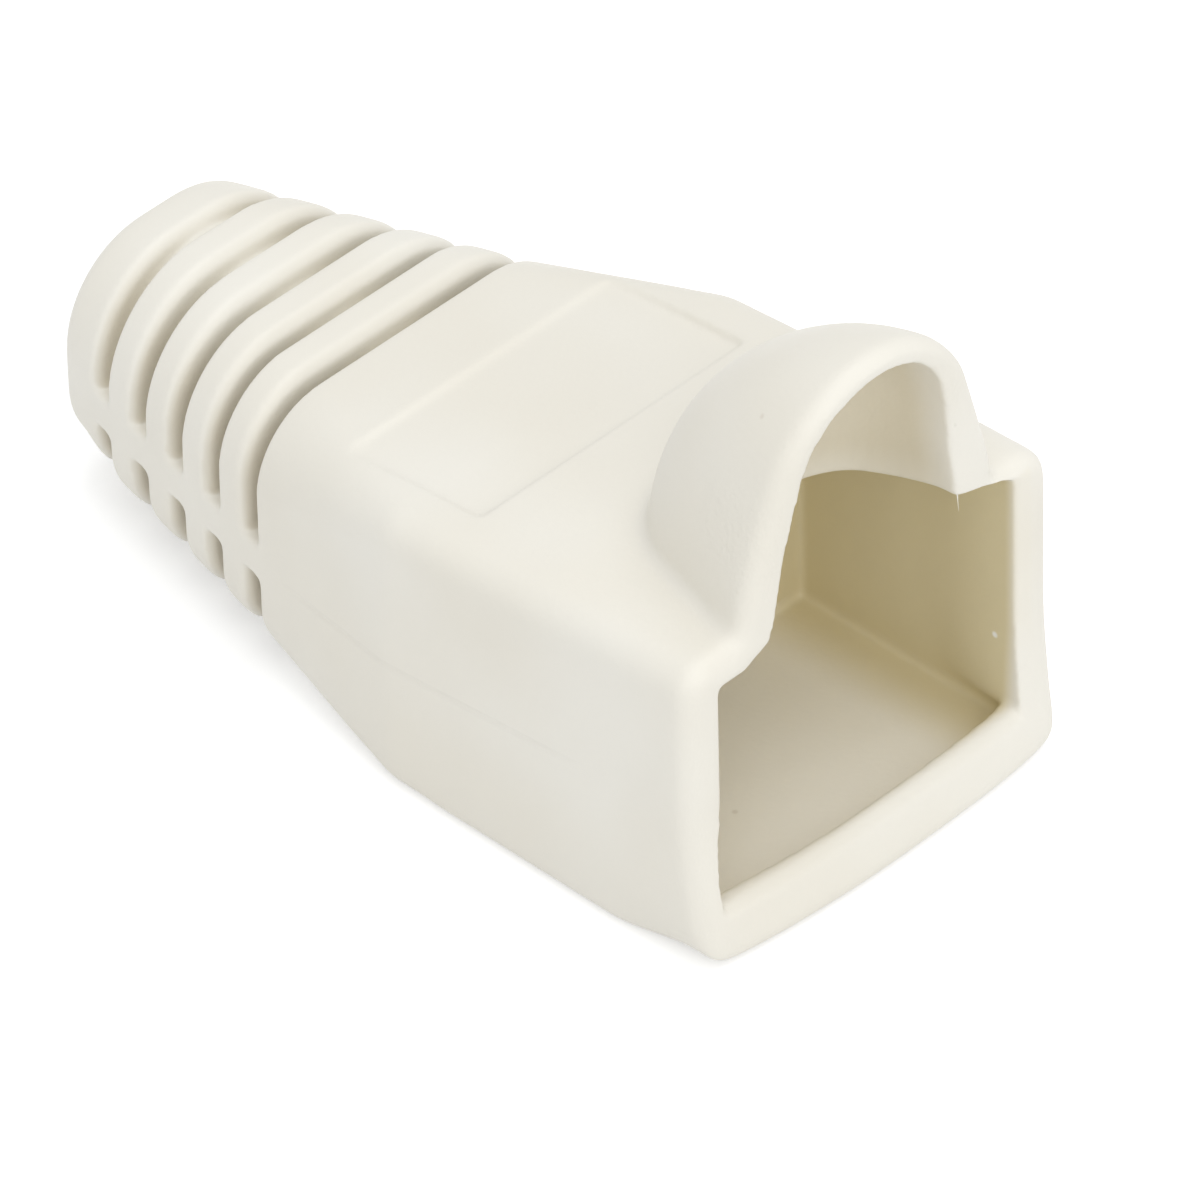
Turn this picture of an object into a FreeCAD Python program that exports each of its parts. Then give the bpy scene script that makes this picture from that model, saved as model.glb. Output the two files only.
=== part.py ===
# Strain relief boot for an eight-way modular plug: one soft PVC moulding, in millimetres.
# +Z is up, the mouth that takes the plug looks along -Y, and the cable leaves along +Y.
# The mould splits at one level, the parting level: the mouth face spreads forward below it and
# the neck slots of each mould half are cut in to a web that lies along it on each side.
import FreeCAD, Part
import math
import os

import Sketcher
from FreeCAD import Vector

doc = FreeCAD.newDocument("strain_relief_boot")

# Every driving size, with the word by which the features know it.
DIMENSIONS = [
    ("mouth_station", -13.91, "station along Y of the mouth face"),
    ("box_length", 12.1, "parallel-sided box from the mouth to the shoulder"),
    ("shoulder_length", 6.35, "tapering shoulder from the box to the first slot"),
    ("box_half_width", 7.36, "half the width over the box"),
    ("box_top", 10.7, "top of the box at the mouth"),
    ("top_fall", 0.075, "fall of the box's top face per millimetre toward the cable end"),
    ("top_edge_radius", 1.05, "long top edges of the box"),
    ("low_edge_radius", 0.5, "long bottom edges of the box"),
    ("parting_level", 4.55, "mould split and cable axis above the flat bottom"),
    ("neck_half_width", 6.2, "half width at the first slot"),
    ("neck_top", 9.05, "top at the first slot"),
    ("neck_bottom", 0.35, "underside at the first slot"),
    ("neck_top_radius", 2.7, "top corners at the first slot"),
    ("neck_low_radius", 1.9, "bottom corners at the first slot"),
    ("slot_pitch", 1.95, "pitch of the flexing slots"),
    ("slot_width", 0.62, "width of a slot along the cable"),
    ("tail_half_width", 4.6, "half width at the last slot"),
    ("tail_top", 8.62, "top at the last slot"),
    ("tail_bottom", 0.38, "underside at the last slot"),
    ("tail_top_radius", 3.8, "top corners at the last slot"),
    ("tail_low_radius", 2.4, "bottom corners at the last slot"),
    ("ring_length", 2.1, "plain end ring behind the last slot"),
    ("ring_half_width", 4.15, "half width at the cable end"),
    ("ring_top", 8.3, "top at the cable end"),
    ("ring_bottom", 0.75, "underside at the cable end"),
    ("ring_top_radius", 3.5, "top corners at the cable end"),
    ("ring_low_radius", 2.7, "bottom corners at the cable end"),
    ("ring_round", 0.9, "rounding of the ring's outer end"),
    ("core_radius", 3.5, "sleeve left around the cable inside the slots"),
    ("web_height", 1.24, "side webs that tie the ribs, from the parting level down"),
    ("bore_radius", 2.8, "cable channel"),
    ("funnel_radius", 3.45, "wide end of the funnel into the cable channel"),
    ("funnel_length", 3.5, "length of that funnel"),
    ("socket_half_width", 6.0, "half the width inside the mouth"),
    ("socket_floor", 1.0, "floor of the plug socket"),
    ("socket_roof", 10.03, "roof of the plug socket at the mouth"),
    ("socket_depth", 8.4, "depth of the plug socket"),
    ("lip_reach", 1.3, "how far the middle of the bottom edge stands before the mouth face"),
    ("lip_bow_radius", 39.0, "plan radius on which the lip is bowed"),
    ("lip_top", 1.98, "top of the raised lip across the floor"),
    ("lip_back", 0.15, "back of the lip's middle before the mouth face"),
    ("hood_curl", 62.0, "radius on which the hood's front curls forward"),
    ("hood_arch_radius", 4.05, "radius of the hood's arch"),
    ("hood_ring_radius", 4.77, "radius on which that arch is swept back over the box"),
    ("hood_foot_half_width", 5.9, "half the width of the swept form at its axis"),
    ("hood_axis_reach", 1.72, "axis of the sweep before the mouth face"),
    ("hood_axis_level", 9.55, "level of that axis"),
    ("vault_radius", 2.89, "ball end of the hollow inside the hood"),
    ("vault_centre_level", 14.63, "level of the centre of that ball end"),
    ("vault_foot_radius", 4.27, "radius of the hollow at its foot, below the socket's roof"),
    ("vault_foot_level", 9.0, "level of that foot"),
    ("eave_radius", 4.95, "radius about the hollow from which the socket's roof slopes up to it"),
    ("eave_rise", 0.95, "rise of that slope at the ball's radius"),
    ("panel_start", 10.0, "mouth side of the bare label panel, from the mouth"),
    ("panel_length", 5.35, "length of the bare label panel"),
    ("panel_half_width", 5.38, "half the width of the panel"),
    ("panel_front_depth", 0.22, "depth of the panel at its mouth side"),
    ("panel_back_depth", 0.12, "depth of the panel at its cable side"),
    ("rim_break", 0.4, "outer edge of the mouth face"),
    ("lip_break", 0.3, "nose of the floor lip"),
    ("rib_front_break", 0.32, "mouth side of each rib's outer edge"),
    ("hood_blend", 0.45, "blend where the hood meets the box"),
]

sheet = doc.addObject("Spreadsheet::Sheet", "Dimensions")
for row, (word, value, meaning) in enumerate(DIMENSIONS, start=1):
    sheet.set("A%d" % row, meaning)
    sheet.set("B%d" % row, str(value))
    sheet.setAlias("B%d" % row, word)
doc.recompute()


class Measure:
    """A size with two readings: its present value and the formula that ties it to the sheet."""

    def __init__(self, value, formula):
        self.value = float(value)
        self.formula = formula

    def combined(self, other, sign, value):
        return Measure(value, "(%s %s %s)" % (self.formula, sign, other.formula))

    def __add__(self, other):
        other = measure(other)
        return self.combined(other, "+", self.value + other.value)

    def __sub__(self, other):
        other = measure(other)
        return self.combined(other, "-", self.value - other.value)

    def __mul__(self, other):
        other = measure(other)
        return self.combined(other, "*", self.value * other.value)

    def __truediv__(self, other):
        other = measure(other)
        return self.combined(other, "/", self.value / other.value)

    def __neg__(self):
        return Measure(-self.value, "(0 - %s)" % self.formula)


def measure(thing):
    """A measure from a word of the sheet, a plain number or a measure."""
    if isinstance(thing, Measure):
        return thing
    if isinstance(thing, str):
        return Measure(getattr(sheet, thing), "<<Dimensions>>." + thing)
    return Measure(thing, repr(float(thing)))


def tie(target, path, formula):
    """Bind one property to a formula of lengths."""
    target.setExpression(path, measure(formula).formula + " * 1 mm")


body = doc.addObject("PartDesign::Body", "Boot")
body.Label = "boot"


def base_plane(role):
    """One of the body's own origin planes or axes."""
    for feature in body.Origin.OriginFeatures:
        if feature.Role == role:
            return feature
    raise ValueError(role)


def sketch_on(role, name, offset=0, along=0, upward=0):
    """An empty sketch on an origin plane, moved along the plane's normal and two directions."""
    sketch = body.newObject("Sketcher::SketchObject", name)
    sketch.AttachmentSupport = [(base_plane(role), "")]
    sketch.MapMode = "FlatFace"
    tie(sketch, "AttachmentOffset.Base.x", along)
    tie(sketch, "AttachmentOffset.Base.y", upward)
    tie(sketch, "AttachmentOffset.Base.z", offset)
    return sketch


def drive(sketch, kind, arguments, formula):
    """Add one dimension to a sketch and bind it to its formula."""
    formula = measure(formula)
    index = sketch.addConstraint(Sketcher.Constraint(kind, *arguments, formula.value))
    tie(sketch, "Constraints[%d]" % index, formula)


def rounded_section(name, station, half_width, low, high, low_radius, high_radius):
    """A rounded rectangle across the boot, the same on both sides of the middle plane."""
    sketch = sketch_on("XZ_Plane", name, -measure(station))
    hw, z0, z1 = [measure(item).value for item in (half_width, low, high)]
    r0, r1 = [measure(item).value for item in (low_radius, high_radius)]
    bottom = Part.LineSegment(Vector(-hw + r0, z0, 0), Vector(hw - r0, z0, 0))
    right = Part.LineSegment(Vector(hw, z0 + r0, 0), Vector(hw, z1 - r1, 0))
    top = Part.LineSegment(Vector(hw - r1, z1, 0), Vector(-hw + r1, z1, 0))
    left = Part.LineSegment(Vector(-hw, z1 - r1, 0), Vector(-hw, z0 + r0, 0))
    corners = [
        (hw - r0, z0 + r0, r0, -90),
        (hw - r1, z1 - r1, r1, 0),
        (-hw + r1, z1 - r1, r1, 90),
        (-hw + r0, z0 + r0, r0, 180),
    ]
    arcs = []
    for x, z, r, start in corners:
        circle = Part.Circle(Vector(x, z, 0), Vector(0, 0, 1), r)
        arcs.append(Part.ArcOfCircle(circle, math.radians(start), math.radians(start + 90)))
    sketch.addGeometry([bottom, arcs[0], right, arcs[1], top, arcs[2], left, arcs[3]], False)
    for index in range(8):
        sketch.addConstraint(Sketcher.Constraint("Tangent", index, 2, (index + 1) % 8, 1))
    sketch.addConstraint(Sketcher.Constraint("Vertical", 2))
    sketch.addConstraint(Sketcher.Constraint("Equal", 1, 7))
    sketch.addConstraint(Sketcher.Constraint("Equal", 3, 5))
    sketch.addConstraint(Sketcher.Constraint("Symmetric", 0, 1, 0, 2, -2))
    drive(sketch, "Radius", (1,), low_radius)
    drive(sketch, "Radius", (3,), high_radius)
    drive(sketch, "DistanceX", (-1, 1, 2, 1), half_width)
    drive(sketch, "DistanceY", (-1, 1, 0, 1), low)
    drive(sketch, "DistanceY", (-1, 1, 4, 1), high)
    return sketch


def side_profile(name, corners, axis=None):
    """A closed outline on the middle plane; each corner is a station along Y and a level.

    An axis, where there is one, is a construction line between two such points.
    """
    sketch = sketch_on("YZ_Plane", name)
    places = [(measure(y), measure(z)) for y, z in corners]
    points = [Vector(y.value, z.value, 0) for y, z in places]
    count = len(points)
    for index in range(count):
        sketch.addGeometry(Part.LineSegment(points[index], points[(index + 1) % count]), False)
    for index in range(count):
        sketch.addConstraint(Sketcher.Constraint("Coincident", index, 2, (index + 1) % count, 1))
        drive(sketch, "DistanceX", (-1, 1, index, 1), places[index][0])
        drive(sketch, "DistanceY", (-1, 1, index, 1), places[index][1])
    if axis:
        ends = [(measure(y), measure(z)) for y, z in axis]
        line = [Vector(y.value, z.value, 0) for y, z in ends]
        sketch.addGeometry(Part.LineSegment(line[0], line[1]), True)
        for point in (1, 2):
            drive(sketch, "DistanceX", (-1, 1, count, point), ends[point - 1][0])
            drive(sketch, "DistanceY", (-1, 1, count, point), ends[point - 1][1])
    return sketch


def settle(feature, before, adds):
    """Recompute, and make sure that the new feature added or took material as it should."""
    doc.recompute()
    for thing in doc.Objects:
        if "Invalid" in thing.State or "Error" in thing.State:
            raise RuntimeError("%s is not sound: %s" % (thing.Name, thing.getStatusString()))
    change = feature.Shape.Volume - before
    if feature.Shape.isNull() or abs(change) < 1e-4 or (change > 0) != adds:
        raise RuntimeError("%s changed the volume by %.4f" % (feature.Name, change))
    print("%-14s %9.3f" % (feature.Name, feature.Shape.Volume))
    return feature.Shape.Volume


def soften_edges(name, kind, size, chosen):
    """Round or bevel the edges of the latest form whose sampled points the test accepts."""
    base = body.Tip
    names = []
    for index, edge in enumerate(base.Shape.Edges, start=1):
        points = [edge.valueAt(edge.getParameterByLength(edge.Length * part / 4)) for part in range(5)]
        if chosen(points):
            names.append("Edge%d" % index)
    if not names:
        print("%-14s found no edges" % name)
        return base.Shape.Volume
    soft = body.newObject("PartDesign::" + kind, name)
    soft.Base = (base, names)
    for share in (1.0, 0.9, 0.8, 0.65, 0.5):
        tie(soft, "Radius" if kind == "Fillet" else "Size", measure(size) * share)
        doc.recompute()
        if soft.isValid() and soft.Shape.isValid() and len(soft.Shape.Solids) == 1:
            print("%-14s %9.3f  %d edges x %.2f" % (name, soft.Shape.Volume, len(names), share))
            return soft.Shape.Volume
    body.removeObject(soft)
    doc.removeObject(soft.Name)
    body.Tip = base
    doc.recompute()
    print("%-14s left sharp" % name)
    return base.Shape.Volume


# Stations along the boot, counted from the mouth face at its side rims.
mouth = measure("mouth_station")
knee = mouth + "box_length"
neck = knee + "shoulder_length"
tail = neck + measure("slot_pitch") * 4
end = tail + "slot_width" + "ring_length"
overrun = measure("lip_reach") + 0.3
cable_axis = measure("parting_level")


def top_level(distance):
    """Level of the box's sloping top face at a distance behind the mouth."""
    return measure("box_top") - measure("top_fall") * distance


def shoulder_level(distance):
    """Level of the shoulder's steeper top at a distance behind the mouth."""
    start = top_level("box_length")
    fall = (start - "neck_top") / "shoulder_length"
    return start - fall * (measure(distance) - "box_length")


# The box: flat underneath, with a top that falls toward the cable end.
box_outline = side_profile("BoxOutline", [
    (mouth - overrun, 0),
    (knee, 0),
    (knee, top_level("box_length")),
    (mouth - overrun, top_level(-overrun)),
])
box = body.newObject("PartDesign::Pad", "Box")
box.Profile = box_outline
box.Midplane = True
tie(box, "Length", measure("box_half_width") * 2)
volume = settle(box, 0.0, True)


def along_the_box(points):
    """True for a long edge of the box."""
    return abs(points[0].y - points[4].y) > 1 and abs(points[0].x - points[4].x) < 0.01


halfway = measure("box_top").value / 2
soften_edges("TopEdges", "Fillet", "top_edge_radius",
             lambda p: along_the_box(p) and p[2].z > halfway)
volume = soften_edges("LowEdges", "Fillet", "low_edge_radius",
                      lambda p: along_the_box(p) and p[2].z < halfway)


def end_section(name, back, inset):
    """A section of the end ring, drawn in all round as the ring's outer end rounds off."""
    inset = measure("ring_round") * inset
    return rounded_section(name, end - measure("ring_round") * back,
                           measure("ring_half_width") - inset, measure("ring_bottom") + inset,
                           measure("ring_top") - inset, measure("ring_low_radius") - inset,
                           measure("ring_top_radius") - inset)


# Shoulder and neck: from the box's own end face down to the end ring.
rounded_box = body.Tip
for index, side in enumerate(rounded_box.Shape.Faces, start=1):
    if side.normalAt(0, 0).y > 0.99 and abs(side.CenterOfMass.y - knee.value) < 0.01:
        knee_face = "Face%d" % index
form = body.newObject("PartDesign::AdditiveLoft", "ShoulderAndNeck")
form.Profile = (rounded_box, [knee_face])
form.Sections = [
    rounded_section("NeckSection", neck, "neck_half_width", "neck_bottom", "neck_top",
                    "neck_low_radius", "neck_top_radius"),
    rounded_section("TailSection", tail, "tail_half_width", "tail_bottom", "tail_top",
                    "tail_low_radius", "tail_top_radius"),
] + [end_section(*step) for step in (
    ("EndSection", 1.0, 0.0),
    ("EndRoundA", 0.5, 0.134),
    ("EndRoundB", 0.134, 0.5),
    ("EndRoundC", 0.0, 1.0),
)]
form.Ruled = True
volume = settle(form, volume, True)

# Latch hood: an arch with leaning flanks, swept back over the box about a level cross axis.
hood_outline = sketch_on("XY_Plane", "HoodOutline", "hood_axis_level", 0, mouth - "hood_axis_reach")
arch = measure("hood_arch_radius")
ring = measure("hood_ring_radius")
foot = measure("hood_foot_half_width")
lean = math.atan2(ring.value, foot.value)
lean = math.pi / 2 - (math.asin(arch.value / math.hypot(foot.value, ring.value)) + lean)
touch = Vector(arch.value * math.cos(lean), ring.value + arch.value * math.sin(lean), 0)
across = Vector(-touch.x, touch.y, 0)
circle = Part.Circle(Vector(0, ring.value, 0), Vector(0, 0, 1), arch.value)
hood_outline.addGeometry([
    Part.LineSegment(Vector(-foot.value, 0, 0), Vector(foot.value, 0, 0)),
    Part.LineSegment(Vector(foot.value, 0, 0), touch),
    Part.ArcOfCircle(circle, lean, math.pi - lean),
    Part.LineSegment(across, Vector(-foot.value, 0, 0)),
], False)
hood_outline.addConstraint(Sketcher.Constraint("Coincident", 0, 2, 1, 1))
hood_outline.addConstraint(Sketcher.Constraint("Tangent", 1, 2, 2, 1))
hood_outline.addConstraint(Sketcher.Constraint("Tangent", 2, 2, 3, 1))
hood_outline.addConstraint(Sketcher.Constraint("Coincident", 3, 2, 0, 1))
hood_outline.addConstraint(Sketcher.Constraint("Symmetric", 0, 1, 0, 2, -2))
hood_outline.addConstraint(Sketcher.Constraint("PointOnObject", 2, 3, -2))
hood_outline.addConstraint(Sketcher.Constraint("PointOnObject", 0, 1, -1))
drive(hood_outline, "Radius", (2,), arch)
drive(hood_outline, "DistanceY", (-1, 1, 2, 3), ring)
drive(hood_outline, "DistanceX", (-1, 1, 0, 2), foot)
hood = body.newObject("PartDesign::Revolution", "HoodDome")
hood.Profile = hood_outline
hood.ReferenceAxis = (hood_outline, ["H_Axis"])
hood.Angle = 120
volume = settle(hood, volume, True)


def hood_seam(points):
    """True for the curved line where the hood stands on the box's top face."""
    for point in points:
        level = measure("box_top").value - measure("top_fall").value * (point.y - mouth.value)
        if abs(point.z - level) > 0.002 or abs(point.x) > foot.value + 0.1:
            return False
    return points[2].y > mouth.value - overrun.value + 0.1 and points[2].y < knee.value - 0.5


volume = soften_edges("HoodBlend", "Fillet", "hood_blend", hood_seam)

# Plug socket, open at the mouth, with a roof that follows the top face.
roof_line = measure("socket_roof")
socket_outline = side_profile("SocketOutline", [
    (mouth - 9, "socket_floor"),
    (mouth + "socket_depth", "socket_floor"),
    (mouth + "socket_depth", roof_line - measure("top_fall") * "socket_depth"),
    (mouth - 9, roof_line + measure("top_fall") * 9),
])
socket = body.newObject("PartDesign::Pocket", "PlugSocket")
socket.Profile = socket_outline
socket.Midplane = True
tie(socket, "Length", measure("socket_half_width") * 2)
volume = settle(socket, volume, False)

# Hollow under the hood, which the plug's latch moves in: a cone with a ball end.
vault_outline = sketch_on("YZ_Plane", "VaultOutline", 0, mouth)
ball = measure("vault_radius")
ball_level = measure("vault_centre_level")
vault_foot = measure("vault_foot_radius")
foot_level = measure("vault_foot_level")
rise = ball_level.value - foot_level.value
lean = math.atan2(rise, vault_foot.value)
lean = math.pi / 2 - (math.asin(ball.value / math.hypot(vault_foot.value, rise)) + lean)
touch = Vector(ball.value * math.cos(lean), ball_level.value + ball.value * math.sin(lean), 0)
circle = Part.Circle(Vector(0, ball_level.value, 0), Vector(0, 0, 1), ball.value)
crown = Vector(0, ball_level.value + ball.value, 0)
vault_outline.addGeometry([
    Part.LineSegment(Vector(0, foot_level.value, 0), Vector(vault_foot.value, foot_level.value, 0)),
    Part.LineSegment(Vector(vault_foot.value, foot_level.value, 0), touch),
    Part.ArcOfCircle(circle, lean, math.pi / 2),
    Part.LineSegment(crown, Vector(0, foot_level.value, 0)),
], False)
vault_outline.addConstraint(Sketcher.Constraint("Coincident", 0, 2, 1, 1))
vault_outline.addConstraint(Sketcher.Constraint("Tangent", 1, 2, 2, 1))
vault_outline.addConstraint(Sketcher.Constraint("Coincident", 2, 2, 3, 1))
vault_outline.addConstraint(Sketcher.Constraint("Coincident", 3, 2, 0, 1))
vault_outline.addConstraint(Sketcher.Constraint("Horizontal", 0))
vault_outline.addConstraint(Sketcher.Constraint("PointOnObject", 0, 1, -2))
vault_outline.addConstraint(Sketcher.Constraint("PointOnObject", 3, 1, -2))
vault_outline.addConstraint(Sketcher.Constraint("PointOnObject", 2, 3, -2))
drive(vault_outline, "Radius", (2,), ball)
drive(vault_outline, "DistanceY", (-1, 1, 2, 3), ball_level)
drive(vault_outline, "DistanceY", (-1, 1, 0, 1), foot_level)
drive(vault_outline, "DistanceX", (-1, 1, 0, 2), vault_foot)
vault = body.newObject("PartDesign::Groove", "HoodHollow")
vault.Profile = vault_outline
vault.ReferenceAxis = (vault_outline, ["V_Axis"])
vault.Angle = 360
volume = settle(vault, volume, False)

# The socket's roof slopes up to that hollow all round it.
eave_slope = measure("eave_rise") / (measure("eave_radius") - "vault_radius")
eave_outline = side_profile("EaveOutline", [
    (mouth, "vault_foot_level"),
    (mouth + measure("eave_radius") * 1.2, "vault_foot_level"),
    (mouth + measure("eave_radius") * 1.2, roof_line - eave_slope * "eave_radius" * 0.2),
    (mouth + "vault_radius", roof_line + "eave_rise"),
    (mouth, roof_line + "eave_rise"),
], [(mouth, 0), (mouth, 20)])
eave = body.newObject("PartDesign::Groove", "HollowEave")
eave.Profile = eave_outline
eave.ReferenceAxis = (eave_outline, ["Axis0"])
eave.Angle = 360
volume = settle(eave, volume, False)

# Raised lip across the floor of the mouth, bowed in plan about one upright axis.
lip_back = mouth - "lip_back"
bow_axis = lip_back + "lip_bow_radius"
lip_outline = side_profile("LipOutline", [
    (lip_back - 2.2, 0.4),
    (lip_back, 0.4),
    (lip_back, "lip_top"),
    (lip_back - 2.2, "lip_top"),
], [(bow_axis, 0), (bow_axis, 20)])
lip = body.newObject("PartDesign::Revolution", "FloorLip")
lip.Profile = lip_outline
lip.ReferenceAxis = (lip_outline, ["Axis0"])
lip.Midplane = True
sweep = (measure("socket_half_width") + 0.35) / "lip_bow_radius" * (2 * math.degrees(1))
lip.setExpression("Angle", sweep.formula + " * 1 deg")
volume = settle(lip, volume, True)

# Mouth face above the parting level: upright across the box, curling forward up the hood.
crest = measure("hood_axis_level") + "hood_ring_radius" + "hood_arch_radius" + 3.6
face_outline = sketch_on("YZ_Plane", "FaceOutline", 0, mouth)
curl = measure("hood_curl")
turn = math.asin((crest.value - roof_line.value) / curl.value)
tip = Vector(-curl.value * (1 - math.cos(turn)), crest.value, 0)
circle = Part.Circle(Vector(-curl.value, roof_line.value, 0), Vector(0, 0, 1), curl.value)
far = -16.0
face_outline.addGeometry([
    Part.LineSegment(Vector(0, cable_axis.value, 0), Vector(0, roof_line.value, 0)),
    Part.ArcOfCircle(circle, 0, turn),
    Part.LineSegment(tip, Vector(far, crest.value, 0)),
    Part.LineSegment(Vector(far, crest.value, 0), Vector(far, cable_axis.value, 0)),
    Part.LineSegment(Vector(far, cable_axis.value, 0), Vector(0, cable_axis.value, 0)),
], False)
face_outline.addConstraint(Sketcher.Constraint("Tangent", 0, 2, 1, 1))
for index in (1, 2, 3, 4):
    face_outline.addConstraint(Sketcher.Constraint("Coincident", index, 2, (index + 1) % 5, 1))
face_outline.addConstraint(Sketcher.Constraint("Vertical", 0))
face_outline.addConstraint(Sketcher.Constraint("Horizontal", 2))
face_outline.addConstraint(Sketcher.Constraint("Vertical", 3))
face_outline.addConstraint(Sketcher.Constraint("Horizontal", 4))
face_outline.addConstraint(Sketcher.Constraint("PointOnObject", 0, 1, -2))
drive(face_outline, "DistanceY", (-1, 1, 0, 1), cable_axis)
drive(face_outline, "DistanceY", (-1, 1, 0, 2), roof_line)
drive(face_outline, "Radius", (1,), curl)
drive(face_outline, "DistanceY", (-1, 1, 2, 1), crest)
drive(face_outline, "DistanceX", (-1, 1, 3, 1), far)
face = body.newObject("PartDesign::Pocket", "MouthFace")
face.Profile = face_outline
face.Midplane = True
face.Length = 40
volume = settle(face, volume, False)


space_half = measure("box_half_width") + 0.64


def space_before(name, level, back, radius=None):
    """Outline in plan of the space before the mouth, with a straight or a bowed back."""
    sketch = sketch_on("XY_Plane", name, level)
    back = measure(back)
    near = mouth - 16
    half = space_half.value
    corners = [
        Vector(-half, back.value, 0),
        Vector(half, back.value, 0),
        Vector(half, near.value, 0),
        Vector(-half, near.value, 0),
    ]
    first = Part.LineSegment(corners[0], corners[1])
    if radius:
        bend = measure(radius).value
        centre = back.value + math.sqrt(bend ** 2 - half ** 2)
        tilt = math.asin(half / bend)
        circle = Part.Circle(Vector(0, centre, 0), Vector(0, 0, 1), bend)
        first = Part.ArcOfCircle(circle, -math.pi / 2 - tilt, -math.pi / 2 + tilt)
    sides = [Part.LineSegment(corners[i], corners[(i + 1) % 4]) for i in (1, 2, 3)]
    sketch.addGeometry([first] + sides, False)
    for index in range(4):
        sketch.addConstraint(Sketcher.Constraint("Coincident", index, 2, (index + 1) % 4, 1))
    sketch.addConstraint(Sketcher.Constraint("Vertical", 1))
    sketch.addConstraint(Sketcher.Constraint("Horizontal", 2))
    sketch.addConstraint(Sketcher.Constraint("Symmetric", 0, 1, 0, 2, -2))
    drive(sketch, "DistanceX", (-1, 1, 1, 1), space_half)
    drive(sketch, "DistanceY", (-1, 1, 1, 1), back)
    drive(sketch, "DistanceY", (-1, 1, 2, 1), near)
    if radius:
        drive(sketch, "Radius", (0,), radius)
    else:
        sketch.addConstraint(Sketcher.Constraint("Vertical", 3))
    return sketch


# Below the parting level the face spreads forward to a bowed bottom edge.
below = 0.1
sides_back = measure("lip_reach") - space_half * space_half / "lip_bow_radius" * 0.5
lower_space = body.newObject("PartDesign::SubtractiveLoft", "MouthFlare")
lower_space.Profile = space_before("FlareTop", cable_axis, mouth)
lower_space.Sections = [
    space_before("FlareBottom", -cable_axis * below, mouth - sides_back * (1 + below),
                 measure("lip_bow_radius") / (1 + below)),
]
lower_space.Ruled = True
volume = settle(lower_space, volume, False)

# Cable channel, with a funnel that leads into it from the socket.
bore_outline = side_profile("BoreOutline", [
    (mouth + "socket_depth" - 0.5, cable_axis),
    (mouth + "socket_depth" - 0.5, cable_axis + "funnel_radius"),
    (mouth + "socket_depth", cable_axis + "funnel_radius"),
    (mouth + "socket_depth" + "funnel_length", cable_axis + "bore_radius"),
    (end + 1, cable_axis + "bore_radius"),
    (end + 1, cable_axis),
], [(mouth, cable_axis), (end, cable_axis)])
bore = body.newObject("PartDesign::Groove", "CableChannel")
bore.Profile = bore_outline
bore.ReferenceAxis = (bore_outline, ["Axis0"])
bore.Angle = 360
volume = settle(bore, volume, False)


def slot_half(name, level, side):
    """Cut-out of one mould half in a slot: down to the round sleeve and the side webs."""
    sketch = sketch_on("XZ_Plane", name, -measure(neck))
    level = measure(level)
    radius = measure("core_radius")
    edge = level.value - cable_axis.value
    reach = math.sqrt(radius.value ** 2 - edge ** 2)
    start = math.atan2(edge, reach)
    outer = measure("box_half_width") + 1.6
    far = cable_axis + measure("box_top") * (side * 0.65)
    circle = Part.Circle(Vector(0, cable_axis.value, 0), Vector(0, 0, 1), radius.value)
    turn = (start, math.pi - start) if side > 0 else (math.pi - start, 2 * math.pi + start)
    arc = Part.ArcOfCircle(circle, *turn)
    ends = [Vector(reach, level.value, 0), Vector(-reach, level.value, 0)]
    if side < 0:
        ends.reverse()
    way = 1 if side < 0 else -1
    corners = [
        Vector(way * outer.value, level.value, 0),
        Vector(way * outer.value, far.value, 0),
        Vector(-way * outer.value, far.value, 0),
        Vector(-way * outer.value, level.value, 0),
    ]
    path = [ends[1]] + corners + [ends[0]]
    lines = [Part.LineSegment(path[index], path[index + 1]) for index in range(5)]
    sketch.addGeometry([arc] + lines, False)
    for index in range(6):
        sketch.addConstraint(Sketcher.Constraint("Coincident", index, 2, (index + 1) % 6, 1))
    for index in (1, 3, 5):
        sketch.addConstraint(Sketcher.Constraint("Horizontal", index))
    for index in (2, 4):
        sketch.addConstraint(Sketcher.Constraint("Vertical", index))
    sketch.addConstraint(Sketcher.Constraint("PointOnObject", 0, 3, -2))
    drive(sketch, "Radius", (0,), radius)
    drive(sketch, "DistanceY", (-1, 1, 0, 3), cable_axis)
    drive(sketch, "DistanceY", (-1, 1, 1, 1), level)
    drive(sketch, "DistanceY", (-1, 1, 5, 2), level)
    drive(sketch, "DistanceX", (-1, 1, 2, 1), outer * way)
    drive(sketch, "DistanceX", (-1, 1, 3, 2), outer * -way)
    drive(sketch, "DistanceY", (-1, 1, 3, 1), far)
    return sketch


# Flexing slots: five from each mould half, at the same stations, with ribs left between.
for name, level, side in (
    ("UpperSlot", measure("parting_level"), 1),
    ("LowerSlot", measure("parting_level") - "web_height", -1),
):
    slot_outline = slot_half(name + "Outline", level, side)
    slot = body.newObject("PartDesign::Pocket", name)
    slot.Profile = slot_outline
    tie(slot, "Length", "slot_width")
    volume = settle(slot, volume, False)
    row_of_slots = body.newObject("PartDesign::LinearPattern", name + "Row")
    row_of_slots.Originals = [slot]
    row_of_slots.Direction = (base_plane("Y_Axis"), [""])
    row_of_slots.Occurrences = 5
    tie(row_of_slots, "Length", measure("slot_pitch") * 4)
    body.Tip = row_of_slots
    volume = settle(row_of_slots, volume, False)

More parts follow.
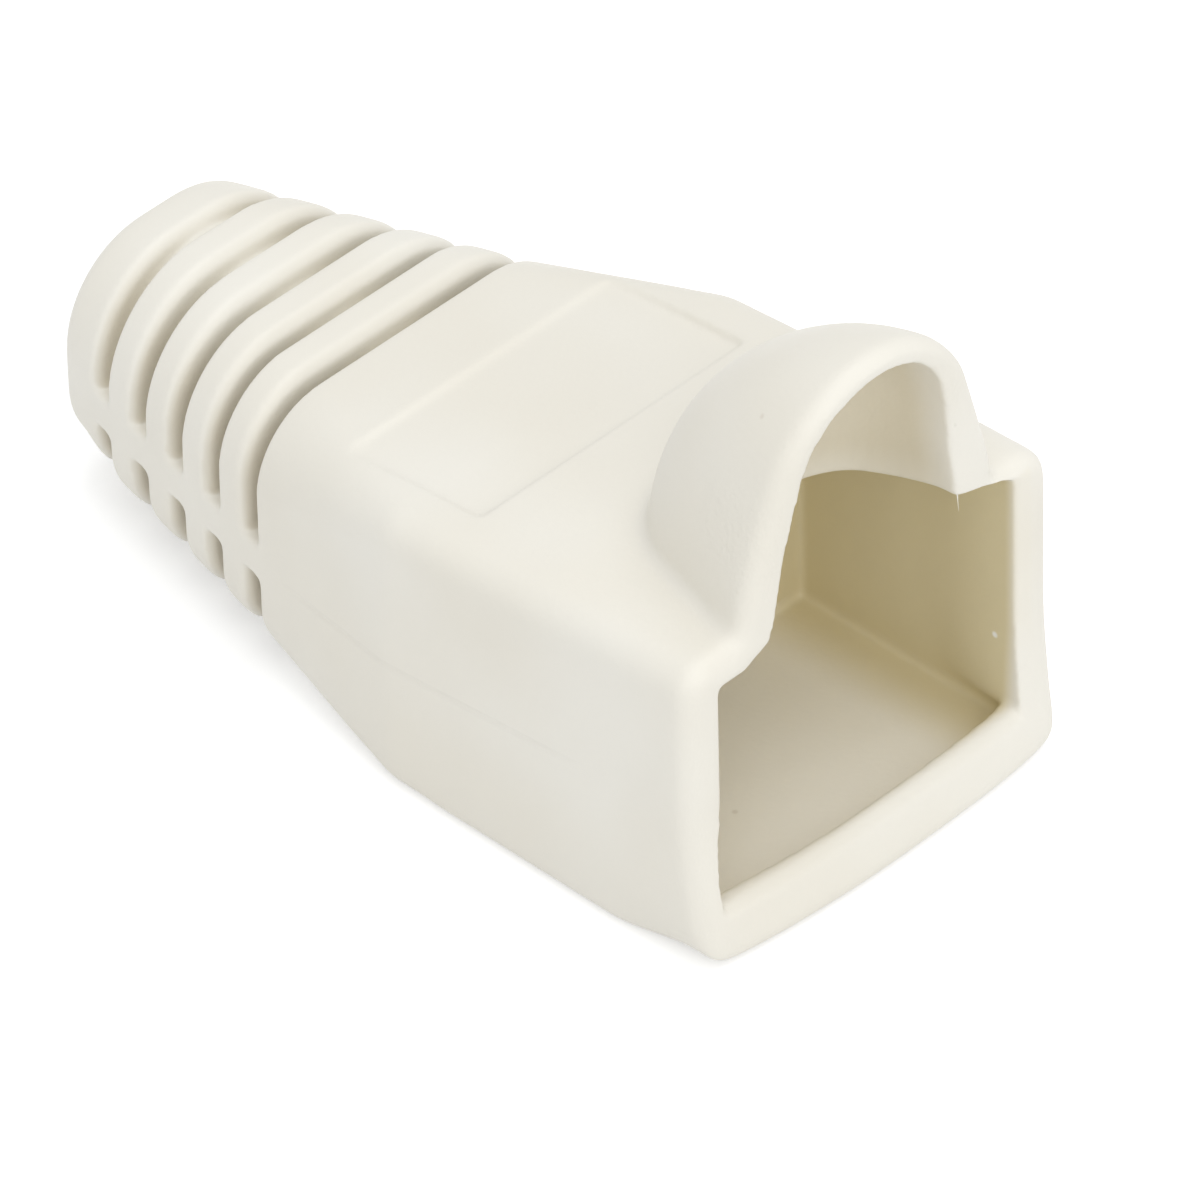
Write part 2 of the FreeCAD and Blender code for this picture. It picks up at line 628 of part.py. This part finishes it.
# Bare label panel, a shallow recess that deepens toward the mouth.
panel_from = measure("panel_start")
panel_to = measure("panel_start") + "panel_length"
panel_knee = measure("box_length")
panel_outline = side_profile("PanelOutline", [
    (mouth + panel_from, top_level(panel_from) - "panel_front_depth"),
    (mouth + panel_knee, top_level(panel_knee) - "panel_front_depth"),
    (mouth + panel_to, shoulder_level(panel_to) - "panel_back_depth"),
    (mouth + panel_to, top_level(panel_to) + 1),
    (mouth + panel_from, top_level(panel_from) + 1),
])
panel = body.newObject("PartDesign::Pocket", "LabelPanel")
panel.Profile = panel_outline
panel.Midplane = True
tie(panel, "Length", measure("panel_half_width") * 2)
volume = settle(panel, volume, False)

body.Tip = panel


def at_station(points, station):
    """True when every point lies in one plane across the boot."""
    return all(abs(point.y - measure(station).value) < 0.001 for point in points)


def inside_vault(point):
    """True near or within the hollow's outline under the hood."""
    height = point.z - ball_level.value
    if height > 0.75:
        return math.hypot(point.x, height) < ball.value + 0.3
    slope = (vault_foot.value - ball.value) / rise
    return abs(point.x) < ball.value - height * slope + 0.3


def on_mouth(points):
    """True when every point lies on the mouth face or its flare."""
    low = cable_axis.value
    for point in points:
        behind = point.y - mouth.value
        if point.z > roof_line.value:
            height = point.z - roof_line.value
            behind += curl.value - math.sqrt(curl.value ** 2 - height ** 2)
        elif point.z < low:
            bend = measure("lip_bow_radius").value
            bow = measure("lip_reach").value - point.x ** 2 / (2 * bend)
            behind += bow * (low - point.z) / low
        if abs(behind) > 0.03:
            return False
    return True


def outer_rim(points):
    """True for the outer edge of the mouth face, hood and lip included."""
    middle = points[2]
    if not on_mouth(points):
        return False
    if middle.z > measure("box_top").value - 0.01:
        return not inside_vault(middle)
    return abs(middle.x) > measure("box_half_width").value - 0.9 or middle.z < 0.01


def lip_nose(points):
    """True for the front edge of the lip's top."""
    level = measure("lip_top").value
    return on_mouth(points) and all(abs(point.z - level) < 0.001 for point in points)


def rib_front(points):
    """True for the outer edge of a rib or the ring, on the side of the slot before it."""
    first = neck.value + measure("slot_width").value
    pitch = measure("slot_pitch").value
    if not any(at_station(points, first + pitch * count) for count in range(5)):
        return False
    for level in (cable_axis.value, cable_axis.value - measure("web_height").value):
        if all(abs(point.z - level) < 0.001 for point in points):
            return False
    sleeve = measure("core_radius").value
    return math.hypot(points[2].x, points[2].z - cable_axis.value) > sleeve + 0.1


soften_edges("MouthRim", "Chamfer", "rim_break", outer_rim)
soften_edges("LipNose", "Chamfer", "lip_break", lip_nose)
soften_edges("RibFronts", "Chamfer", "rib_front_break", rib_front)
doc.recompute()
for thing in doc.Objects:
    if "Invalid" in thing.State or "Error" in thing.State:
        raise RuntimeError("%s is not sound: %s" % (thing.Name, thing.State))
shape = body.Shape
if shape.isNull() or not shape.isValid() or len(shape.Solids) != 1:
    raise RuntimeError("boot is not one sound solid")
os.makedirs("parts", exist_ok=True)
shape.exportStep("parts/%s.step" % body.Label)
print("boot", round(shape.Volume, 1), shape.BoundBox)
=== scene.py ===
# Studio picture of a strain relief boot in soft ivory PVC.
import math

import bpy
import numpy as np
from mathutils import Matrix, Vector


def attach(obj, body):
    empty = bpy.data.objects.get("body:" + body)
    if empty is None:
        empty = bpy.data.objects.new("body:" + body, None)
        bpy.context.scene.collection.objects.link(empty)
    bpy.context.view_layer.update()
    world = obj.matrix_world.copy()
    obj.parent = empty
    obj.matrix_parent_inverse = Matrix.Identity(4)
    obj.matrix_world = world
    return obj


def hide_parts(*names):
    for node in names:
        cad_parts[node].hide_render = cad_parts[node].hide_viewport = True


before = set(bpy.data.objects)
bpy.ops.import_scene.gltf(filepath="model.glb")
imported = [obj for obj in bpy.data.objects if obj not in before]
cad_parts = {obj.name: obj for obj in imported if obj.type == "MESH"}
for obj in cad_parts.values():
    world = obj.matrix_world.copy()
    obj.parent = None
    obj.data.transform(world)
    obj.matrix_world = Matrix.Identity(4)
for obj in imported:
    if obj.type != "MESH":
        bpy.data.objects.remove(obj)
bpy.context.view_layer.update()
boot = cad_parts["boot"]

# Blender's lengths are in metres. The boot's own sizes are in millimetres, and so are the lengths
# in every function that moves its points. A station is a place along the cable.
MM = 0.001
MOUTH = -13.91          # station of the mouth face
SOCKET_END = -4.6       # station by which the socket's side walls have ended
KNEE = -1.81            # station where the box ends and the shoulder begins
NECK = 4.54             # station of the first slot
ROOF = 10.03            # level of the mouth's inner top corners
ROOF_FALL = 0.075       # fall of the roof for each unit back from the mouth
PARTING = 4.55          # level at which the mould splits
BOX_HALF = 7.36         # half width of the box
SOCKET_HALF = 6.0       # half width of the socket
LIP_TOP = 1.98          # level of the lip's top at the mouth
LIP_SPREAD = 1.3        # how far the lip's foot stands forward at its middle
LIP_BOW = 78.0          # twice the radius of the lip's bow
FACE_LEAN = 62.0        # radius of the hood's face, seen from the side
HOLLOW_HALF = 2.89      # half width of the hood's hollow where its round top begins
HOLLOW_CROWN = 14.63    # level where that round top begins
HOLLOW_DRAFT = 0.245    # widening of the hollow for each unit down
EAVE_RADIUS = 4.95      # reach of the slope from the hollow out to the roof
EAVE_SLOPE = 0.461      # rise of that slope for each unit inward


def place_camera():
    """The photograph's view: a long lens, high and to the left of the mouth."""
    azimuth = math.radians(-44.90)
    elevation = math.radians(39.74)
    roll = math.radians(-1.40)
    back = Vector((
        math.sin(azimuth) * math.cos(elevation),
        -math.cos(azimuth) * math.cos(elevation),
        math.sin(elevation),
    ))
    level = Vector((math.cos(azimuth), math.sin(azimuth), 0))
    upright = back.cross(level)
    right = math.cos(roll) * level + math.sin(roll) * upright
    up = math.cos(roll) * upright - math.sin(roll) * level
    data = bpy.data.cameras.new("camera")
    data.sensor_width = 36
    data.lens = 426.96
    data.clip_start = 0.05
    data.clip_end = 10
    camera = bpy.data.objects.new("camera", data)
    bpy.context.scene.collection.objects.link(camera)
    turn = Matrix((right, up, back)).transposed()
    camera.matrix_world = turn.to_4x4()
    aim = Vector((0, MOUTH, ROOF)) * MM
    camera.location = aim - 0.007537 * right - 0.000613 * up + 0.400 * back
    bpy.context.scene.camera = camera


class Nodes:
    """Short calls for building a material's nodes."""

    def __init__(self, name):
        self.material = bpy.data.materials.new(name)
        self.material.use_nodes = True
        self.tree = self.material.node_tree
        self.tree.nodes.clear()

    def feed(self, socket, value):
        """Link a socket to another socket, or give it a value."""
        if isinstance(value, bpy.types.NodeSocket):
            self.tree.links.new(value, socket)
        else:
            socket.default_value = value

    def add(self, kind, inputs=None, **settings):
        node = self.tree.nodes.new(kind)
        for key, value in settings.items():
            setattr(node, key, value)
        for key, value in (inputs or {}).items():
            self.feed(node.inputs[key], value)
        return node

    def ramp(self, factor, low, high):
        """Colours or greys between two stops, each a place and a colour."""
        node = self.add("ShaderNodeValToRGB", {"Fac": factor})
        for element, (place, colour) in zip(node.color_ramp.elements, (low, high)):
            element.position = place
            element.color = colour if isinstance(colour, tuple) else (colour, colour, colour, 1)
        return node.outputs["Color"]

    def maths(self, kind, *terms):
        return self.add("ShaderNodeMath", dict(enumerate(terms)), operation=kind).outputs[0]

    def times(self, first, *others):
        product = first
        for other in others:
            product = self.maths("MULTIPLY", product, other)
        return product

    def fade(self, value, full, none):
        """One where a length is at full, nothing where it is at none, smooth between."""
        node = self.add("ShaderNodeMapRange", {
            "Value": value, "From Min": none * MM, "From Max": full * MM,
        }, interpolation_type="SMOOTHSTEP")
        return node.outputs["Result"]

    def share(self, value, full, none):
        """The same for a plain number."""
        return self.fade(value, full / MM, none / MM)

    def near(self, place, centre, full, none):
        """A soft ball of influence about a point."""
        centre = tuple(length * MM for length in centre)
        away = self.add("ShaderNodeVectorMath", {0: place, 1: centre}, operation="DISTANCE")
        return self.fade(away.outputs["Value"], full, none)

    def blend(self, factor, first, second):
        node = self.add("ShaderNodeMix", {"Factor": factor}, data_type="RGBA")
        self.feed(node.inputs[6], first)
        self.feed(node.inputs[7], second)
        return node.outputs[2]

    def noise(self, place, scale):
        node = self.add("ShaderNodeTexNoise", {
            "Vector": place, "Scale": scale, "Detail": 1.0, "Roughness": 0.5,
        })
        return node.outputs["Fac"]


def paint_socket_light_and_shade(n, tint, x, y, z):
    """Painted light and shade: a paler socket floor and deeper yellow side walls, standing in for the light
    that has come off or through the walls.
    """
    wide = n.maths("ABSOLUTE", x)
    inward = n.maths("SUBTRACT", y, MOUTH * MM)
    at_right = n.fade(x, 4, 0)
    reach = n.maths("MULTIPLY_ADD", at_right, 0.5 * MM, inward)
    level = n.maths("MULTIPLY_ADD", inward, ROOF_FALL, z)
    socket = n.times(
        n.fade(reach, 0.7, 0.1),
        n.fade(y, SOCKET_END - 0.6, SOCKET_END),
        n.fade(wide, SOCKET_HALF + 0.25, SOCKET_HALF + 0.55),
        n.fade(z, 0.9, 0.65),
        n.fade(level, ROOF + 0.17, ROOF + 0.37),
    )
    # Painted light: the socket is lifted toward a pale ivory, which stays on the floor.
    tint = n.blend(n.times(socket, 0.8), tint, (0.930, 0.895, 0.810, 1))
    # Painted shade: deeper yellow on the side walls and on the floor by the right wall.
    by_right_wall = n.times(n.fade(x, 5.6, 3.3), 0.95)
    above_floor = n.fade(z, 1.40, 1.04)
    shaded_side_walls = n.times(socket, n.maths("MAXIMUM", above_floor, by_right_wall))
    return n.blend(shaded_side_walls, tint, (0.735, 0.650, 0.425, 1))


def paint_hollow_shade(n, tint, place, x, y, z):
    """Painted shade: a greyer, darker tint in the hood's hollow, weaker toward its foot."""
    inward = n.maths("SUBTRACT", y, MOUTH * MM)
    across = n.add("ShaderNodeCombineXYZ", {"X": x, "Y": inward})
    radius = n.add("ShaderNodeVectorMath", {0: across.outputs[0]}, operation="LENGTH")
    cone = n.maths("MULTIPLY_ADD", z, HOLLOW_DRAFT, radius.outputs["Value"])
    surface = HOLLOW_HALF + HOLLOW_DRAFT * HOLLOW_CROWN
    below_crown = n.times(
        n.fade(cone, surface + 0.225, surface + 0.575),
        n.fade(z, HOLLOW_CROWN - 0.23, HOLLOW_CROWN + 0.17),
    )
    crown = n.near(place, (0, MOUTH, HOLLOW_CROWN), HOLLOW_HALF + 0.21, HOLLOW_HALF + 0.51)
    hollow = n.times(
        n.maths("MAXIMUM", below_crown, crown),
        n.fade(z, ROOF + 0.57, ROOF + 0.27),
        n.fade(y, MOUTH + 1.2, MOUTH - 0.1),
        n.maths("MULTIPLY_ADD", n.fade(z, 12.4, 10.6), 0.4, 0.6),
    )
    # Painted shade in the hood's hollow.
    return n.blend(hollow, tint, (0.680, 0.618, 0.480, 1))


def paint_slot_shade(n, tint, normal, y, z):
    """Painted shade: a warmer, darker tint on the slot walls that look toward the mouth, on the flanks of the
    neck.
    """
    turned = n.add("ShaderNodeSeparateXYZ", {"Vector": normal}).outputs["Y"]
    # Painted shade on the slot walls that face the mouth.
    shaded_slot_walls = n.times(n.share(turned, -0.85, -0.35), n.fade(z, 6.5, 9.0), n.fade(y, NECK + 0.3, NECK + 0.1))
    return n.blend(shaded_slot_walls, tint, (0.700, 0.650, 0.545, 1))


def tint_marks(n, tint, place):
    """Faint brown specks in the compound, and a pale sliver of flash on the right inner wall."""
    for centre in ((-4.63, -13.39, 12.05), (-2.65, -12.46, 16.64), (-2.31, -10.78, 1.0)):
        speck = n.times(n.near(place, centre, 0.04, 0.13), 0.22)
        tint = n.blend(speck, tint, (0.45, 0.35, 0.25, 1))
    return n.blend(n.near(place, (5.74, -13.40, 4.15), 0.04, 0.15), tint, (0.93, 0.92, 0.88, 1))


def moulded_relief(n, place, waves, x, y, z):
    """Fine grain, coarser on the hood's left flank, slow waves, and a crease where the mould halves met."""
    grain = n.noise(place, 5200.0)
    coarse = n.near(place, (-4.1, -12.9, 13.4), 0.6, 2.4)
    height = n.times(grain, n.maths("MULTIPLY_ADD", coarse, 0.020 * MM, 0.009 * MM))
    height = n.maths("MULTIPLY_ADD", waves, 0.048 * MM, height)
    above = n.maths("MULTIPLY_ADD", n.maths("SUBTRACT", y, -4.4 * MM), 0.093, z)
    off_line = n.maths("ABSOLUTE", n.maths("SUBTRACT", above, 4.70 * MM))
    crease = n.times(
        n.fade(off_line, 0.0, 0.14),
        n.fade(n.maths("ABSOLUTE", x), 6.4, 6.1),
        n.fade(y, -8.0, -11.0),
        n.fade(y, 2.0, 3.8),
    )
    height = n.maths("MULTIPLY_ADD", crease, -0.024 * MM, height)
    return n.add("ShaderNodeBump", {"Height": height, "Strength": 1.0, "Distance": 1.0}).outputs["Normal"]


def soft_pvc():
    """Warm ivory PVC: lightly clouded and satin, with painted light on the socket floor and painted shade on
    the socket walls, in the hood's hollow and on the slot walls.
    """
    n = Nodes("soft_pvc")
    own = n.add("ShaderNodeTexCoord").outputs
    place = own["Object"]
    split = n.add("ShaderNodeSeparateXYZ", {"Vector": place}).outputs
    x, y, z = split["X"], split["Y"], split["Z"]
    waves = n.noise(place, 420.0)

    tint = n.ramp(n.noise(place, 160.0), (0.30, (0.815, 0.778, 0.688, 1)), (0.70, (0.848, 0.820, 0.744, 1)))
    # Painted light and shade go into the colour here: socket floor and walls, the hood's hollow and the slot
    # walls.
    tint = paint_socket_light_and_shade(n, tint, x, y, z)
    tint = paint_hollow_shade(n, tint, place, x, y, z)
    tint = paint_slot_shade(n, tint, own["Normal"], y, z)
    tint = tint_marks(n, tint, place)
    skin = n.add("ShaderNodeBsdfPrincipled", {
        "Base Color": tint,
        "Roughness": n.ramp(waves, (0.3, 0.40), (0.7, 0.52)),
        "Normal": moulded_relief(n, place, waves, x, y, z),
        "IOR": 1.46,
        "Specular IOR Level": 0.42,
    })
    n.add("ShaderNodeOutputMaterial", {"Surface": skin.outputs["BSDF"]})
    return n.material


def rise(value, low, high):
    """Smooth rise from nothing at low to one at high."""
    share = np.clip((value - low) / (high - low), 0.0, 1.0)
    return share * share * (3 - 2 * share)


def fall(value, low, high):
    """Smooth fall from one at low to nothing at high."""
    return 1 - rise(value, low, high)


def below_parting(z):
    """Share of the way down from the parting level to the underside."""
    return np.clip(PARTING - z, 0, None) / PARTING


def lip_spread(x, z):
    """How far the mouth face stands forward below the parting level."""
    return (LIP_SPREAD - x ** 2 / LIP_BOW) * below_parting(z)


def softness(points):
    """How strongly each point of the skin is eased: most on the outer rim and the shoulder."""
    x, y, z = (points / MM).T
    wide = np.abs(x)
    lean = FACE_LEAN - np.sqrt(FACE_LEAN ** 2 - np.clip(z - ROOF, 0, None) ** 2)
    behind = y - MOUTH + lean + lip_spread(x, z)
    over = z - HOLLOW_CROWN
    from_hollow = np.where(over > 0, np.hypot(x, over), wide + HOLLOW_DRAFT * over) - HOLLOW_HALF
    under_or_over = np.clip(np.maximum(LIP_TOP - z, z - ROOF), 0, None)
    from_socket = np.hypot(np.clip(wide - SOCKET_HALF, 0, None), under_or_over)
    from_opening = np.where(z > ROOF, np.minimum(from_hollow, from_socket), from_socket)

    rim = rise(from_opening, 0.35, 0.75) * fall(behind, 1.1, 2.0)
    lip = 0.15 * fall(z, 2.2, 2.6) * fall(behind, 0.5, 0.9) * fall(wide, 5.2, 5.8)
    outside = rise(np.maximum(wide - 6.4, z - 10.1), 0.0, 0.2)
    shoulder = 0.9 * outside * fall(np.abs(y - KNEE), 1.0, 2.2)
    panel_end = rise(wide, 4.5, 4.9) * rise(z, 8.6, 9.0) * rise(-x, 0.0, 1.0)
    panel_end *= rise(y - MOUTH, 9.4, 10.4) * fall(y - MOUTH, 15.0, 16.0)
    ribs = 0.10 * rise(y, NECK - 0.6, NECK - 0.1)
    return np.max([rim, lip, shoulder, 0.35 * panel_end, ribs], axis=0)


def uneven_hood(x, y, z):
    """How far each point of the hood moves across and up: its feet differ and its right flank is thicker."""
    inward = y - MOUTH
    behind = inward + lip_spread(x, z)
    radius = np.hypot(x, inward)
    outside_hollow = radius - HOLLOW_HALF - HOLLOW_DRAFT * (HOLLOW_CROWN - z)

    eave = ROOF + np.where(radius < EAVE_RADIUS, EAVE_SLOPE * (EAVE_RADIUS - radius), -ROOF_FALL * inward)
    under_skin = np.minimum(z - eave, outside_hollow)
    feet = fall(under_skin, 0.05, 0.6) * fall(z, 11.0, 13.0) * rise(z, 9.3, 9.7)
    feet *= fall(np.abs(x), SOCKET_HALF + 0.1, SOCKET_HALF + 0.5)
    left = fall(x, -3.0, 1.5) * fall(inward, 3.0, 6.0)
    right = rise(x, -3.0, 1.5) * fall(radius, 5.0, 6.8) * (1 - 0.44 * rise(behind, 0.5, 2.5))
    up = feet * (0.50 * right - 0.43 * left)

    flank = rise(x, 1.5, 3.2) * fall(inward, 1.0, 4.0) * rise(z, 9.5, 10.2)
    outer = rise(outside_hollow, 0.6, 1.0) * rise(z, 10.9, 11.3) * fall(z, 15.0, 17.0)
    inner = fall(outside_hollow, 0.1, 0.7) * fall(z, 13.5, 15.0)
    across = flank * (0.15 * outer - inner * np.clip(0.13 + 0.115 * (13.5 - z), 0.1, 0.5))
    return across, up


def uneven(points):
    """The photographed moulding's own small departures from the even form."""
    x, y, z = (points / MM).T
    behind = y - MOUTH + lip_spread(x, z)
    into_wall = fall(np.abs(x) - SOCKET_HALF, 0.05, 0.9)
    across, up = uneven_hood(x, y, z)

    # The right wall is thicker at the mouth, and its rim stands forward.
    right_wall = rise(x, 5.0, 6.0) * into_wall * rise(z, 1.2, 2.0) * fall(z, 10.2, 10.6)
    across -= right_wall * (0.22 + 0.25 * below_parting(z)) * fall(behind, 1.0, 4.0)
    forward = (0.15 + 0.15 * rise(z, 1.5, 5.0)) * rise(x, 1.0, 6.0) * fall(behind, 0.4, 2.4)
    x, y, z = x + across, y - forward, z + up

    # The left wall opens out toward the lip.
    into_wall = fall(np.abs(x) - SOCKET_HALF, 0.05, 0.9)
    left_wall = rise(-x, 5.0, 6.0) * into_wall * rise(z, 0.7, 1.0) * fall(z, 2.6, 5.6)
    x = x - 0.42 * left_wall * fall(behind, 1.2, 3.2)

    # The mouth's bottom corners are well rounded.
    corner = 1.5
    side, low = np.abs(x) - (BOX_HALF - corner), corner - z
    reach = np.hypot(side, low)
    beyond = (side > 0) & (low > 0) & (reach > corner)
    pull = np.where(beyond, 1 - corner / np.maximum(reach, corner), 0) * fall(behind, 0.8, 4.0)
    return np.stack((x - np.sign(x) * side * pull, y, z + low * pull), axis=1) * MM


def ease(mesh, plain_rounds, extra_rounds):
    """Draw every point toward its neighbours, and then the soft places further."""
    count = len(mesh.vertices)
    points = np.empty(count * 3)
    mesh.vertices.foreach_get("co", points)
    points = uneven(points.reshape(count, 3))
    edges = np.empty(len(mesh.edges) * 2, dtype=np.int64)
    mesh.edges.foreach_get("vertices", edges)
    first, second = edges.reshape(-1, 2).T
    valence = np.bincount(edges, minlength=count)[:, None]
    share = softness(points)[:, None] * 0.6
    for turn in range(plain_rounds + extra_rounds):
        total = np.empty_like(points)
        for axis in range(3):
            line = points[:, axis]
            total[:, axis] = np.bincount(first, line[second], count) + np.bincount(second, line[first], count)
        pull = 0.5 if turn < plain_rounds else share
        points = points + (total / valence - points) * pull
    mesh.vertices.foreach_set("co", points.ravel())
    mesh.update()


def flash_whisker():
    """A hair of flash that hangs from the hood's right foot: its points and faces."""
    sides = 6
    levels_and_radii = [(11.00, 0.03), (10.75, 0.016), (10.54, 0.010), (10.34, 0.005)]
    points, faces = [], []
    for row, (level, radius) in enumerate(levels_and_radii):
        lean = 0.02 * row
        for turn in range(sides):
            angle = math.tau * turn / sides
            points.append((
                3.56 + lean + radius * math.cos(angle),
                MOUTH - 0.10 + radius * 0.6 * math.sin(angle),
                level,
            ))
    for row in range(len(levels_and_radii) - 1):
        for turn in range(sides):
            a, b = row * sides + turn, row * sides + (turn + 1) % sides
            faces.append((b, a, a + sides, b + sides))
    faces.append(tuple(range(sides)))
    faces.append(tuple(reversed(range(len(points) - sides, len(points)))))
    return [Vector(point) * MM for point in points], faces


def mould(node):
    """The node's form as one soft skin with every edge eased, and the hair of flash on it."""
    skin = bpy.data.objects.new("moulding", node.data.copy())
    bpy.context.scene.collection.objects.link(skin)
    remesh = skin.modifiers.new("skin", "REMESH")
    remesh.mode = "VOXEL"
    remesh.voxel_size = 0.08 * MM
    graph = bpy.context.evaluated_depsgraph_get()
    fine = bpy.data.meshes.new_from_object(skin.evaluated_get(graph))
    skin.modifiers.clear()
    skin.data = fine
    ease(fine, 8, 34)
    fewer = skin.modifiers.new("fewer", "DECIMATE")
    fewer.ratio = 92000 / len(fine.polygons)
    graph = bpy.context.evaluated_depsgraph_get()
    mesh = bpy.data.meshes.new_from_object(skin.evaluated_get(graph))
    skin.modifiers.clear()
    skin.data = mesh
    mesh.name = "moulding"
    mesh.shade_smooth()
    mesh.materials.clear()
    mesh.materials.append(soft_pvc())
    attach(skin, "root")
    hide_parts("boot")

    points, faces = flash_whisker()
    hair = bpy.data.meshes.new("flash_whisker")
    hair.from_pydata(points, [], faces)
    hair.shade_smooth()
    hair.materials.append(mesh.materials[0])
    whisker = bpy.data.objects.new("flash_whisker", hair)
    bpy.context.scene.collection.objects.link(whisker)
    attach(whisker, "root")


def studio_floor():
    """Pale paper that the camera sees as white, with the boot's shadow on it."""
    n = Nodes("studio_floor")
    paper = n.add("ShaderNodeBsdfDiffuse", {"Color": (0.86, 0.86, 0.86, 1)})
    glow = n.add("ShaderNodeEmission", {"Color": (1, 1, 1, 1), "Strength": 0.36})
    lit = n.add("ShaderNodeAddShader", {0: paper.outputs[0], 1: glow.outputs[0]})
    path = n.add("ShaderNodeLightPath").outputs
    seen = n.maths("MAXIMUM", path["Is Camera Ray"], path["Is Glossy Ray"])
    seen = n.maths("MAXIMUM", seen, path["Is Transmission Ray"])
    mix = n.add("ShaderNodeMixShader", {0: seen, 1: paper.outputs[0], 2: lit.outputs[0]})
    n.add("ShaderNodeOutputMaterial", {"Surface": mix.outputs[0]})
    half = 1.5
    mesh = bpy.data.meshes.new("floor")
    corners = [(-half, -half, 0), (half, -half, 0), (half, half, 0), (-half, half, 0)]
    mesh.from_pydata(corners, [], [(0, 1, 2, 3)])
    mesh.materials.append(n.material)
    floor = bpy.data.objects.new("floor", mesh)
    bpy.context.scene.collection.objects.link(floor)


def softbox(name, place, size, power):
    """A round soft lamp that looks at the boot."""
    light = bpy.data.lights.new(name, "AREA")
    light.shape = "DISK"
    light.size = size
    light.energy = power
    lamp = bpy.data.objects.new(name, light)
    lamp.location = place
    aim = Vector((0, 0, 0.006)) - Vector(place)
    lamp.rotation_euler = aim.to_track_quat("-Z", "Y").to_euler()
    bpy.context.scene.collection.objects.link(lamp)


def studio_world():
    """Even light from all round, which the camera and reflections see as white."""
    world = bpy.data.worlds.new("studio")
    world.use_nodes = True
    tree = world.node_tree
    tree.nodes.clear()
    path = tree.nodes.new("ShaderNodeLightPath").outputs
    seen = path["Is Camera Ray"]
    for ray in ("Is Glossy Ray", "Is Transmission Ray"):
        either = tree.nodes.new("ShaderNodeMath")
        either.operation = "MAXIMUM"
        tree.links.new(seen, either.inputs[0])
        tree.links.new(path[ray], either.inputs[1])
        seen = either.outputs[0]
    mix = tree.nodes.new("ShaderNodeMixShader")
    tree.links.new(seen, mix.inputs[0])
    ambient, white = ((0.97, 0.985, 1, 1), 0.68), ((1, 1, 1, 1), 1.0)
    for place, (colour, strength) in enumerate((ambient, white), start=1):
        background = tree.nodes.new("ShaderNodeBackground")
        background.inputs["Color"].default_value = colour
        background.inputs["Strength"].default_value = strength
        tree.links.new(background.outputs[0], mix.inputs[place])
    out = tree.nodes.new("ShaderNodeOutputWorld")
    tree.links.new(mix.outputs[0], out.inputs["Surface"])
    bpy.context.scene.world = world


place_camera()
mould(boot)
studio_floor()
softbox("key", (-0.3255, -0.512, 0.440), 0.70, 1.1)
softbox("over", (0.10, -0.05, 0.60), 0.50, 1.05)
softbox("front", (-0.05, -0.75, 0.25), 0.50, 0.5)
softbox("back_left", (-0.40, -0.25, 0.55), 0.50, 0.20)
studio_world()
bpy.context.scene.view_settings.view_transform = "Standard"
